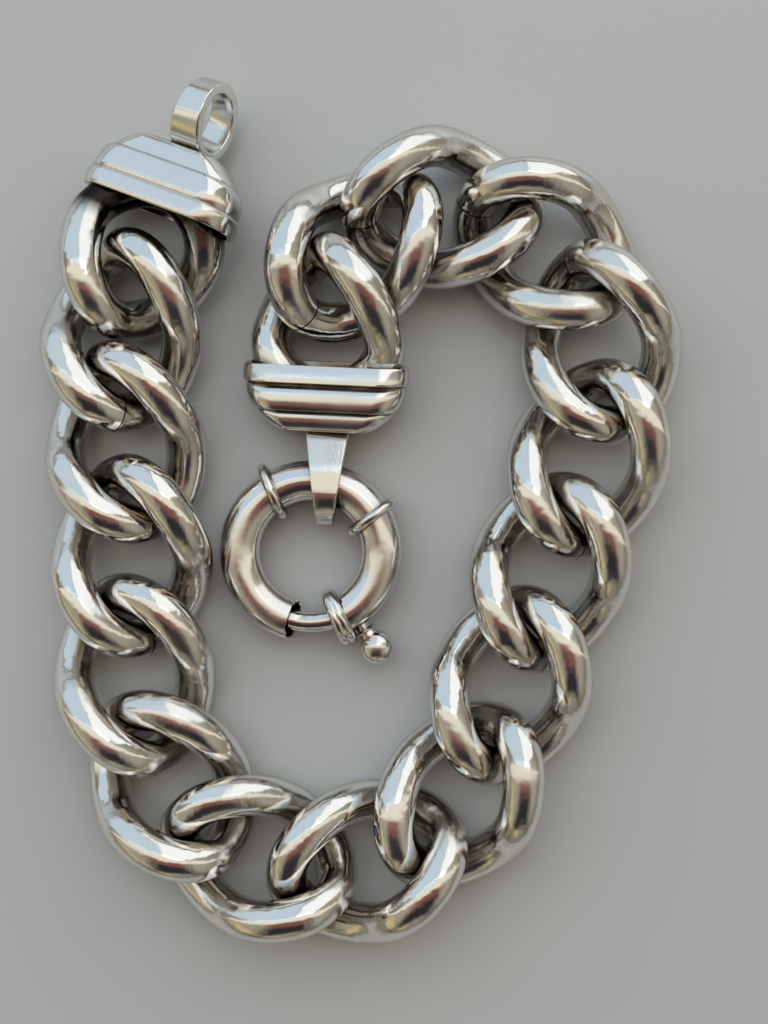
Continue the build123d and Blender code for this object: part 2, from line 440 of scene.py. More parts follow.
class Wiring:
    """Adds nodes to a tree and joins them."""

    def __init__(self, tree: bpy.types.NodeTree) -> None:
        """Hold the material's or the room's nodes."""
        self.tree = tree

    def feed(self, socket: Socket, value: object) -> None:
        """Join a socket to another socket, or set it to a value.

        Args:
            socket: The socket.
            value: The other socket, or the value.
        """
        if isinstance(value, Socket):
            self.tree.links.new(value, socket)
        else:
            socket.default_value = value

    def add(self, kind: str, **values: object) -> bpy.types.Node:
        """Add a node with its inputs.

        Args:
            kind: The node's type.
            values: Its inputs by name, with _ for a space.

        Returns:
            The node.
        """
        node = self.tree.nodes.new(kind)
        for name, value in values.items():
            self.feed(node.inputs[name.replace("_", " ")], value)
        return node

    def reckon(self, operation: str, first: object, second: object = 0.0) -> Socket:
        """Work out one operation on two numbers.

        Args:
            operation: The Math node's operation.
            first: The first number or socket.
            second: The second number or socket.

        Returns:
            The result.
        """
        node = self.tree.nodes.new("ShaderNodeMath")
        node.operation = operation
        self.feed(node.inputs[0], first)
        self.feed(node.inputs[1], second)
        return node.outputs["Value"]

    def times(self, *factors: object) -> Socket:
        """Multiply numbers.

        Args:
            factors: Two or more numbers or sockets.

        Returns:
            Their product.
        """
        product = factors[0]
        for factor in factors[1:]:
            product = self.reckon("MULTIPLY", product, factor)
        return product

    def off(self, value: Socket, middle: float) -> Socket:
        """Return how far a value is from a middle."""
        return self.reckon("ABSOLUTE", self.reckon("SUBTRACT", value, middle))

    def fade(self, value: Socket, span: Span, first: float = 0.0, last: float = 1.0) -> Socket:
        """Fade smoothly from one number to another while a value crosses a range.

        Args:
            value: The value.
            span: The range.
            first: The number at its start.
            last: The number at its end.

        Returns:
            The result.
        """
        limits = {"From_Min": span.start, "From_Max": span.end, "To_Min": first, "To_Max": last}
        node = self.add("ShaderNodeMapRange", Value=value, **limits)
        node.interpolation_type = "SMOOTHSTEP"
        return node.outputs["Result"]

    def mix(self, share: object, first: object, second: object) -> Socket:
        """Mix two colours.

        Args:
            share: How much there is of the second.
            first: The first colour or socket.
            second: The second colour or socket.

        Returns:
            The mixed colour.
        """
        node = self.tree.nodes.new("ShaderNodeMix")
        node.data_type = "RGBA"
        self.feed(node.inputs["Factor"], share)
        for name, colour in (("A", first), ("B", second)):
            self.feed(node.inputs[name], (*colour, 1.0) if isinstance(colour, tuple) else colour)
        return node.outputs["Result"]

    def noise(self, place: Socket, size: float, detail: float) -> Socket:
        """Return a noise pattern of a size in millimetres, read at a place in metres."""
        node = self.add("ShaderNodeTexNoise", Vector=place, Scale=1 / (size * MM), Detail=detail)
        return node.outputs["Fac"]


@dataclass(frozen=True)
class Silver:
    """A worn silver finish: bright where it is rubbed, brown with tarnishing and painted shade in its corners
    and on its sides.

    Attributes:
        name: The material's name.
        metal: Colour of the bare metal.
        veil_and_shade: Colour of the thin tarnished film and painted shade on its sides.
        tarnish_and_shade: Colour of the tarnishing and painted shade in its corners.
        seam_and_shade_black: Colour of its dark seams, and of the painted shade in hollows that the mask
            marks.
        rim: Tint of its grazing reflections.
        veil_and_shade_share: How much of the thin tarnished film and painted shade the sides have.
        tarnish_and_shade_share: How much tarnishing and painted shade the corners have.
        reach: How far from a neighbour the tarnishing and painted shade start, in millimetres.
        side: How far a surface looks up where the thin film and painted shade start, and where they are full;
            the lower it looks, the darker.
        corner: How open a place is where the tarnishing and painted shade start, and where they are full.
        patch_size: Size of the patches that the tarnishing and painted shade come in, in millimetres.
        patch: Where in their pattern the patches start, and where they are full.
        patch_least: What is left of the tarnishing and painted shade between the patches.
        polish: Lowest roughness, where rubbed bright.
        smudge: Highest roughness, where smudged.
        smudge_size: Size of the smudges in millimetres.
        smudge_edge: Where in their pattern the smudges start, and where they are full.
        dent_size: Width of the soft dents in millimetres.
        dent_depth: Strength of the soft dents.
        dent_height: Their full height in millimetres.
        scratch_size: Spacing of the fine scratches in millimetres.
        scratch_depth: Strength of the fine scratches.
        scratch_height: Their full height in millimetres.
        scratch_turn: How they are turned, in radians.
        scratch_stretch: How they are stretched: the smaller, the longer.
    """

    name: str
    metal: Colour = (0.93, 0.915, 0.89)
    veil_and_shade: Colour = (0.42, 0.37, 0.30)
    tarnish_and_shade: Colour = (0.24, 0.205, 0.165)
    seam_and_shade_black: Colour = (0.032, 0.028, 0.024)
    rim: Colour = (0.80, 0.78, 0.72)
    veil_and_shade_share: float = 0.68
    tarnish_and_shade_share: float = 0.80
    reach: float = 4.5
    side: Span = Span(0.42, -0.10)
    corner: Span = Span(0.80, 0.22)
    patch_size: float = 2.2
    patch: Span = Span(0.34, 0.66)
    patch_least: float = 0.55
    polish: float = 0.10
    smudge: float = 0.24
    smudge_size: float = 5.5
    smudge_edge: Span = Span(0.38, 0.72)
    dent_size: float = 2.3
    dent_depth: float = 0.32
    dent_height: float = 0.35
    scratch_size: float = 0.3
    scratch_depth: float = 0.20
    scratch_height: float = 0.05
    scratch_turn: tuple[float, float, float] = (0.5, 0.3, 0.9)
    scratch_stretch: tuple[float, float, float] = (1.0, 0.08, 1.0)

    def colour(self, wires: Wiring, place: Socket, normal: Socket) -> Socket:
        """Darken the metal with tarnishing and painted shade on its sides and in its corners, and blacken its
        dark seams and the painted shade that the mask marks.

        Args:
            wires: The material's nodes.
            place: The place on the piece.
            normal: The direction that the surface faces.

        Returns:
            The colour.
        """
        patches = wires.noise(place, self.patch_size, detail=5.0)
        patches = wires.fade(patches, self.patch, self.patch_least)
        facing = wires.add("ShaderNodeSeparateXYZ", Vector=normal).outputs["Z"]
        # Painted shade with the thin film: the more a surface faces down, the darker it is.
        side = wires.times(wires.fade(facing, self.side, 0.0, self.veil_and_shade_share), patches)
        # Painted shade with the tarnishing: places near other surfaces are darkened, found by ambient
        # occlusion.
        crevice = wires.add("ShaderNodeAmbientOcclusion", Distance=self.reach * MM)
        crevice.samples = 8
        corner = wires.times(wires.fade(crevice.outputs["AO"], self.corner, 0.0, self.tarnish_and_shade_share), patches)
        # The mask blackens dark seams, and paints shade inside the tube and in the eye cap's mouth.
        seam_and_shade_node = wires.add("ShaderNodeAttribute")
        seam_and_shade_node.attribute_name = SEAM_AND_SHADE_MASK
        # The metal with its tarnishing and its painted shade on sides and in corners.
        worn = wires.mix(corner, wires.mix(side, self.metal, self.veil_and_shade), self.tarnish_and_shade)
        return wires.mix(seam_and_shade_node.outputs["Fac"], worn, self.seam_and_shade_black)

    def relief(self, wires: Wiring, place: Socket) -> Socket:
        """Dent the surface softly and scratch it finely.

        Args:
            wires: The material's nodes.
            place: The place on the piece.

        Returns:
            The direction that the worn surface faces.
        """
        dents = wires.add(
            "ShaderNodeBump", Strength=self.dent_depth, Distance=self.dent_height * MM,
            Height=wires.noise(place, self.dent_size, detail=2.0),
        )
        stretch = wires.add(
            "ShaderNodeMapping", Vector=place, Rotation=self.scratch_turn, Scale=self.scratch_stretch,
        )
        scratches = wires.add(
            "ShaderNodeBump", Strength=self.scratch_depth, Distance=self.scratch_height * MM,
            Height=wires.noise(stretch.outputs["Vector"], self.scratch_size, detail=3.0),
            Normal=dents.outputs["Normal"],
        )
        return scratches.outputs["Normal"]

    def build(self) -> bpy.types.Material:
        """Build the material.

        Returns:
            The material with its nodes.
        """
        material = bpy.data.materials.new(self.name)
        material.use_nodes = True
        wires = Wiring(material.node_tree)
        shader = material.node_tree.nodes["Principled BSDF"]
        shader.inputs["Metallic"].default_value = 1.0
        shader.inputs["Specular Tint"].default_value = (*self.rim, 1.0)
        coordinates = wires.add("ShaderNodeTexCoord").outputs
        place = coordinates["Object"]
        smears = wires.noise(place, self.smudge_size, detail=6.0)
        wires.feed(shader.inputs["Base Color"], self.colour(wires, place, coordinates["Normal"]))
        wires.feed(shader.inputs["Roughness"], wires.fade(smears, self.smudge_edge, self.polish, self.smudge))
        wires.feed(shader.inputs["Normal"], self.relief(wires, place))
        return material


@dataclass
class Arc:
    """A stretch of wire bent to a circle.

    Attributes:
        start: Where it begins, in metres.
        tangent: Its direction there.
        end: Where it ends, in metres.
    """

    start: Vector
    tangent: Vector
    end: Vector

    def frame(self) -> tuple[Vector, Vector, float]:
        """Work out the circle that the arc lies on.

        Returns:
            The circle's centre, its axis and the angle that the arc covers, in radians.
        """
        chord = self.end - self.start
        axis = self.tangent.cross(chord).normalized()
        inward = axis.cross(self.tangent)
        radius = chord.dot(chord) / (2 * chord.dot(inward))
        angle = 2 * math.atan2(chord.dot(inward), chord.dot(self.tangent))
        return self.start + inward * radius, axis, angle

    def at(self, share: float) -> tuple[Vector, Vector]:
        """Follow the arc for a share of the way.

        Args:
            share: The share, from 0 to 1.

        Returns:
            The place and the direction there.
        """
        centre, axis, angle = self.frame()
        turn = Matrix.Rotation(angle * share, 3, axis)
        return centre + turn @ (self.start - centre), turn @ self.tangent

    def reverse(self) -> "Arc":
        """Follow the arc the other way.

        Returns:
            The arc from its end to its start.
        """
        chord = (self.end - self.start).normalized()
        leaving = 2 * self.tangent.dot(chord) * chord - self.tangent
        return Arc(self.end, -leaving, self.start)

    def turn(self, x: int, y: int, z: int) -> "Arc":
        """Return the arc with each coordinate multiplied by a sign."""
        signs = Matrix.Diagonal((x, y, z))
        return Arc(signs @ self.start, signs @ self.tangent, signs @ self.end)


@dataclass
class CurbLink:
    """A twisted curb link of round wire, and the copies of it along the chain.

    Attributes:
        wire: Diameter of the wire.
        inner_length: Inside length of the link.
        inner_width: Inside width of the link.
        crest: Height of a strand's crest over the link's middle plane.
        tip_steepness: Slope at the tip over crest height by half width.
        side_steepness: Slope at mid-strand over crest height by half length.
        sides: Edges round the wire.
        steps: Rings in each of a link's eight arcs.
        seam_arc: The arc that the solder seam is on, counted from 0.
        seam_step: The ring of its arc that it is at.
        seam_width: Width of the solder seam.
        seam_depth: Depth of the solder seam as a share of the wire.
        seam_stain: How far the seam's dark line reaches to each side, as a share of its width.
        dent: Depth of the wear dents.
        dent_size: Their width.
        dent_level: The share of their range that is pressed in.
        silver: The finish.
    """

    wire: float = 4.0
    inner_length: float = 12.2
    inner_width: float = 7.8
    crest: float = 2.594
    tip_steepness: float = 2.75
    side_steepness: float = 3.15
    sides: int = 40
    steps: int = 16
    seam_arc: int = 7
    seam_step: int = 14
    seam_width: float = 0.10
    seam_depth: float = 0.08
    seam_stain: float = 0.7
    dent: float = 0.07
    dent_size: float = 2.6
    dent_level: float = 0.62
    silver: Silver = Silver("link silver")

    @property
    def half_length(self) -> float:
        """Distance from the link's middle to the wire's centre at its tip."""
        return (self.inner_length + self.wire) / 2

    @property
    def half_width(self) -> float:
        """Distance from the link's middle to the wire's centre at its side."""
        return (self.inner_width + self.wire) / 2

    @property
    def tip_angle(self) -> float:
        """Slope of the wire at the tip of a whole link, in radians."""
        return math.atan(self.tip_steepness * self.crest / self.half_width)

    def quarter(self, half_length: float, tip_angle: float, side_angle: float) -> list[Arc]:
        """Return the two arcs from a link's tip to the middle of its left strand.

        Args:
            half_length: Distance from the link's middle to the wire's centre at the tip.
            tip_angle: Slope at the tip, in radians.
            side_angle: Slope at mid-strand, in radians.

        Returns:
            The two arcs.
        """
        start = mm(half_length, 0, 0)
        leaving = Vector((0, math.cos(tip_angle), -math.sin(tip_angle)))
        end = mm(0, self.half_width, 0)
        arriving = Vector((-math.cos(side_angle), 0, math.sin(side_angle)))
        chord = end - start
        lean = chord.dot(leaving + arriving)
        spread = 2 * (1 - leaving.dot(arriving))
        reach = (math.sqrt(lean**2 + spread * chord.dot(chord)) - lean) / spread
        before = start + leaving * reach
        after = end - arriving * reach
        middle = (before + after) / 2
        return [Arc(start, leaving, middle), Arc(middle, (after - before).normalized(), end)]

    def whole_quarter(self) -> list[Arc]:
        """Return the arcs of a quarter of a whole link."""
        side_angle = math.atan(self.side_steepness * self.crest / self.half_length)
        return self.quarter(self.half_length, self.tip_angle, side_angle)

    def path(self, front: list[Arc], rear: list[Arc]) -> list[Arc]:
        """Return a link's eight arcs in order from its front tip.

        Args:
            front: The arcs of a front quarter.
            rear: The arcs of a rear quarter, drawn as a front one.

        Returns:
            The closed run of arcs.
        """
        left_rear = [arc.turn(-1, 1, -1).reverse() for arc in reversed(rear)]
        right_rear = [arc.turn(-1, -1, 1) for arc in rear]
        right_front = [arc.turn(1, -1, -1).reverse() for arc in reversed(front)]
        return front + left_rear + right_rear + right_front

    def bend(self, name: str, arcs: list[Arc]) -> Piece:
        """Bend round wire along a closed run of arcs.

        Args:
            name: The piece's name.
            arcs: The run of arcs.

        Returns:
            The closed wire.
        """
        piece = Bench.ring(arcs[0].start, arcs[0].tangent, self.wire / 2 * MM, self.sides)
        piece.name = name
        with Bench.editing(piece):
            bpy.ops.mesh.select_all(action="SELECT")
            for arc in arcs[:-1]:
                Bench.spin(*arc.frame(), self.steps)
            centre, axis, angle = arcs[-1].frame()
            Bench.spin(centre, axis, angle * (self.steps - 1) / self.steps, self.steps - 1)
            bpy.ops.mesh.select_all(action="DESELECT")
            bpy.ops.mesh.select_non_manifold(
                extend=False, use_wire=False, use_boundary=True, use_multi_face=False,
                use_non_contiguous=False, use_verts=False,
            )
            bpy.ops.mesh.bridge_edge_loops()
            Bench.face_out()
        return piece

    def on_seam(self, arc: Arc, slack: float) -> Callable[[Vector], bool]:
        """Tell which points of the wire are at its seam.

        Args:
            arc: The arc that the seam is on.
            slack: How far from the seam's middle they may be, in millimetres.

        Returns:
            What says whether a point is there.
        """
        spot, along = arc.at(self.seam_step / self.steps)
        reach = 0.6 * self.wire * MM
        return lambda point: abs((point - spot).dot(along)) < slack * MM and (point - spot).length < reach

    def cut_seam(self, piece: Piece, arc: Arc) -> None:
        """Cut the fine dark groove of a solder seam round the wire.

        Args:
            piece: The link before it is placed.
            arc: The arc that the seam is on.
        """
        share = 1 - self.seam_depth
        with Bench.editing(piece):
            Bench.pick(piece, self.on_seam(arc, slack=0.002))
            bpy.ops.mesh.bevel(
                offset=self.seam_width * MM, offset_type="OFFSET", segments=4, profile=0.5, affect="EDGES",
            )
            Bench.pick(piece, self.on_seam(arc, slack=0.012))
            bpy.ops.transform.resize(value=(share, share, share))
        stained = self.on_seam(arc, self.seam_stain * self.seam_width)
        Bench.blacken(piece, lambda point: float(stained(point)))

    def wear(self, piece: Piece) -> None:
        """Press shallow dents into a placed link, different on each one.

        Args:
            piece: The link, where it lies.
        """
        texture = bpy.data.textures.new("wear", "CLOUDS")
        texture.noise_scale = self.dent_size * MM
        texture.noise_depth = 1
        Bench.apply(piece, "DISPLACE", texture=texture, strength=self.dent * MM, mid_level=self.dent_level)

    @staticmethod
    def moments(mesh: bpy.types.Mesh) -> tuple[np.ndarray, np.ndarray]:
        """Work out how the volume of a closed mesh is spread, a tetrahedron for each triangle.

        Args:
            mesh: The mesh.

        Returns:
            The centroid, and the second moments of volume about it.
        """
        # Of a tetrahedron with one corner at the origin, the centroid is a quarter of the sum of its corners.
        # Its second moments are a twentieth of its volume times those of its corners and of their sum.
        mesh.calc_loop_triangles()
        points = np.empty(len(mesh.vertices) * 3)
        mesh.vertices.foreach_get("co", points)
        corners = np.empty(len(mesh.loop_triangles) * 3, dtype=int)
        mesh.loop_triangles.foreach_get("vertices", corners)
        triangles = points.reshape(-1, 3)[corners.reshape(-1, 3)]
        middle = points.reshape(-1, 3).mean(axis=0)
        triangles = triangles - middle
        volumes = np.einsum("ij,ij->i", triangles[:, 0], np.cross(triangles[:, 1], triangles[:, 2])) / 6
        sums = triangles.sum(axis=1)
        centroid = (sums * volumes[:, None]).sum(axis=0) / 4 / volumes.sum()
        spread = np.einsum("n,ni,nj->ij", volumes, sums, sums)
        for corner in range(3):
            spread += np.einsum("n,ni,nj->ij", volumes, triangles[:, corner], triangles[:, corner])
        return middle + centroid, spread / 20 - volumes.sum() * np.outer(centroid, centroid)

    def node_frame(self, node: Piece) -> Matrix:
        """Read a whole link's frame from its node: its centroid and its principal directions.

        Args:
            node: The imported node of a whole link.

        Returns:
            The frame, with X along the link and Y across it.
        """
        centroid, spread = self.moments(node.data)
        directions = np.linalg.eigh(spread)[1]
        along = Vector(directions[:, 2])
        across = Vector(directions[:, 1])
        frame = Matrix((along, across, along.cross(across))).transposed().to_4x4()
        frame.translation = Vector(centroid)
        return frame

    def lay_all(self, nodes: dict[str, Piece], material: bpy.types.Material) -> None:
        """Model one whole link and lay a copy of it over each link node.

        Args:
            nodes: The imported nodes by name.
            material: The links' finish.
        """
        quarter = self.whole_quarter()
        arcs = self.path(quarter, quarter)
        model = self.bend("curb_link", arcs)
        self.cut_seam(model, arcs[self.seam_arc])
        for name in sorted(name for name in nodes if name.startswith("link_")):
            piece = Bench.copy(model, f"curb_{name}")
            Bench.place(piece, self.node_frame(nodes[name]))
            self.wear(piece)
            Bench.smooth(piece)
            dress(piece, material, Body.CHAIN, Slot.LINK, name)
        bpy.data.objects.remove(model)


@dataclass(frozen=True)
class Lie:
    """How a piece lies: its middle in millimetres and its turns in degrees.

    Attributes:
        spot: The place of its middle.
        heading: The direction it points in, counter-clockwise from +X.
        nose: How far its leading end is lifted.
        roll: How far its left side is lifted.
    """

    spot: tuple[float, float, float]
    heading: float
    nose: float = 0.0
    roll: float = 0.0

    def frame(self) -> Matrix:
        """Work out the piece's own frame.

        Returns:
            The frame with X ahead, Y to the left and Z up.
        """
        heading = Matrix.Rotation(math.radians(self.heading), 4, "Z")
        nose = Matrix.Rotation(math.radians(-self.nose), 4, "Y")
        roll = Matrix.Rotation(math.radians(self.roll), 4, "X")
        return Matrix.Translation(mm(*self.spot)) @ heading @ nose @ roll


def shifted(x: float, y: float = 0.0, z: float = 0.0) -> Matrix:
    """Return a move in millimetres as a matrix."""
    return Matrix.Translation(mm(x, y, z))


@dataclass(frozen=True)
class Rib:
    """One rounded step of an end cap, from its mouth side to its closed side.

    Attributes:
        start: Where it begins behind the mouth.
        end: Where it ends.
        front_width: Cap width where it begins.
        back_width: Cap width where it ends.
        front_depth: Cap thickness where it begins.
        back_depth: Cap thickness where it ends.
        bulge: How far its middle stands out.
    """

    start: float
    end: float
    front_width: float
    back_width: float
    front_depth: float
    back_depth: float
    bulge: float

    def stations(self, count: int = 9) -> list[tuple[float, float, float]]:
        """Return the rib's cross-sections.

        Args:
            count: How many sections it has.

        Returns:
            Distance behind the mouth, width and thickness of each, in millimetres.
        """
        sections = []
        for step in range(count):
            share = 0.5 - 0.5 * math.cos(math.pi * step / (count - 1))
            out = 2 * self.bulge * math.sqrt(max(0.0, 1 - (2 * share - 1) ** 2))
            width = self.front_width + (self.back_width - self.front_width) * share + out
            depth = self.front_depth + (self.back_depth - self.front_depth) * share + out
            sections.append((self.start + (self.end - self.start) * share, width, depth))
        return sections


@dataclass
class EndCap:
    """A stepped hollow cap soldered over an end link.

    Attributes:
        width: Width of its mouth.
        depth: Thickness of its mouth.
        corner: Radius of its corners.
        wall: Thickness of its wall.
        hollow: How deep its mouth is.
        hollow_share: Width and thickness of the hollow's end as shares of its opening's.
        rim: Rounding of its rim.
        ribs: Its rounded steps from the mouth back.
        back_length: How far its closed end is behind its mouth.
        back_share: Width and thickness of that end as shares of the last step's.
    """

    width: float = 16.3
    depth: float = 7.1
    corner: float = 2.9
    wall: float = 0.55
    hollow: float = 4.2
    hollow_share: tuple[float, float] = (0.80, 0.82)
    rim: float = 0.16
    ribs: tuple[Rib, ...] = (
        Rib(0.00, 1.66, 15.9, 16.1, 5.70, 6.88, 0.10),
        Rib(1.86, 4.38, 15.3, 13.9, 4.80, 5.95, 0.42),
        Rib(4.52, 6.42, 13.3, 9.2, 4.20, 4.00, 0.42),
    )
    back_length: float = 6.58
    back_share: tuple[float, float] = (0.86, 0.80)

    @classmethod
    def for_eye(cls) -> "EndCap":
        """Size the eye's cap, which is worn flatter than the clasp's.

        Returns:
            The eye's cap.
        """
        return cls(
            ribs=(
                Rib(0.00, 1.64, 16.1, 16.1, 6.86, 6.90, 0.12),
                Rib(1.84, 4.36, 15.7, 14.1, 6.36, 6.04, 0.26),
                Rib(4.46, 6.42, 13.4, 9.0, 5.40, 4.10, 0.26),
            ),
        )

    def stations(self) -> list[tuple[float, float, float]]:
        """Return the cap's cross-sections from its mouth to its closed end.

        Returns:
            Distance behind the mouth, width and thickness of each, in millimetres.
        """
        sections = [section for rib in self.ribs for section in rib.stations()]
        _, width, depth = sections[-1]
        sections.append((self.back_length, self.back_share[0] * width, self.back_share[1] * depth))
        return sections

    def draw_body(self) -> None:
        """Draw the edited plate out through the cap's cross-sections."""
        first, *others = self.stations()
        place, width, depth = first
        bpy.ops.mesh.select_all(action="SELECT")
        bpy.ops.transform.resize(value=(1, width / self.width, depth / self.depth), center_override=(0, 0, 0))
        for new_place, new_width, new_depth in others:
            grow = Vector((1, new_width / width, new_depth / depth))
            Bench.draw_out(mm(new_place - place, 0, 0), grow, mm(new_place, 0, 0))
            place, width, depth = new_place, new_width, new_depth

    def sink_mouth(self, piece: Piece) -> None:
        """Sink the cap's mouth into it, inside its wall.

        Args:
            piece: The cap in edit mode, closed at its mouth.
        """
        slack = 0.001 * MM
        Bench.pick(piece, lambda point: point.x < slack)
        bpy.ops.mesh.select_mode(type="FACE")
        bpy.ops.mesh.inset(thickness=self.wall * MM, depth=0)
        inward = mm(self.hollow, 0, 0)
        Bench.draw_out(inward, Vector((1, *self.hollow_share)), inward)
        bpy.ops.mesh.select_mode(type="VERT")

    def build(self, name: str, frame: Matrix) -> Piece:
        """Draw the cap out from its mouth, hollow it and put it in place.

        Args:
            name: The piece's name.
            frame: The cap's frame, its mouth at the origin and its closed end along X.

        Returns:
            The cap.
        """
        piece = Bench.plate(self.width * MM, self.depth * MM, self.corner * MM, segments=9)
        piece.name = name
        with Bench.editing(piece):
            self.draw_body()
            self.sink_mouth(piece)
            Bench.face_out()
        Bench.ease_edges(piece, self.rim, segments=3, angle=60)
        Bench.set_down(piece, frame, angle=32)
        return piece


@dataclass
class EyeLoop:
    """The strap eye that the bolt ring hooks into, narrower at its far side.

    Attributes:
        bore: Diameter of its opening.
        band: Thickness of its strap.
        width: Width of its strap at mid-height.
        taper: How much narrower its far side is than its near side, as a share.
        edge: Rounding of the strap's edges.
    """

    bore: float = 5.6
    band: float = 1.0
    width: float = 2.95
    taper: float = -0.36
    edge: float = 0.24

    def build(self, name: str, frame: Matrix) -> Piece:
        """Spin the strap's section into a loop, taper it and put it in place.

        Args:
            name: The piece's name.
            frame: The frame at the loop's middle, X away from the cap and Y through the bore.

        Returns:
            The loop.
        """
        piece = Bench.plate(self.width * MM, self.band * MM, self.edge * MM, segments=4)
        piece.name = name
        Bench.hollow_out(piece)
        Bench.place(piece, shifted(0, 0, (self.bore + self.band) / 2))
        Bench.spin_round(piece, Vector(), Vector((0, 1, 0)), steps=96)
        Bench.taper(piece, self.taper)
        Bench.set_down(piece, frame, angle=40)
        return piece


@dataclass
class Bail:
    """The tapering strap loop that joins the bolt ring to its cap.

    Attributes:
        length: Its length, with what is sunk into the cap.
        height: Its height outside.
        strap: Thickness of the strap.
        base_width: Its width at the cap.
        tip_width: Its width at the tip.
        sunk: How much of it is sunk into the cap.
        edge: Chamfer of the strap's edges.
    """

    length: float = 10.1
    height: float = 6.4
    strap: float = 0.8
    base_width: float = 4.6
    tip_width: float = 1.6
    sunk: float = 0.8
    edge: float = 0.30

    def build(self, name: str, frame: Matrix) -> Piece:
        """Draw the strap round its loop, taper it and put it in place.

        Args:
            name: The piece's name.
            frame: The frame on the cap's back, X along the bail and Z up.

        Returns:
            The bail.
        """
        bend = (self.height - self.strap) / 2
        near = self.length - self.height / 2
        piece = Bench.plate(self.base_width * MM, self.strap * MM, self.edge * MM, segments=3)
        piece.name = name
        Bench.hollow_out(piece)
        Bench.place(piece, shifted(near, 0, bend))
        Bench.spin_round(piece, mm(near, 0, 0), Vector((0, 1, 0)), steps=96)
        with Bench.editing(piece):
            Bench.pick(piece, lambda point: point.x < (near - 0.01) * MM)
            bpy.ops.transform.resize(value=(2 * near / self.height, 1, 1), center_override=mm(near, 0, 0))
        Bench.taper(piece, self.tip_width / self.base_width - 1)
        Bench.set_down(piece, frame @ shifted(-self.sunk), angle=30)
        return piece


@dataclass(frozen=True)
class RingLine:
    """The circle that the bolt ring's tube and bolt follow, with the bail towards its Y.

    Attributes:
        radius: Its radius.
        lie: How it lies.
    """

    radius: float = 7.0
    lie: Lie = Lie(spot=(-5.004, -3.891, 3.020), heading=-12.5)

    def spot(self, angle: float) -> Vector:
        """Return its point at an angle from the bail, counter-clockwise, in metres."""
        way = math.radians(90 + angle)
        return mm(self.radius * math.cos(way), self.radius * math.sin(way), 0)

    def along(self, angle: float) -> Vector:
        """Return its direction at an angle from the bail."""
        way = math.radians(90 + angle)
        return Vector((-math.sin(way), math.cos(way), 0))


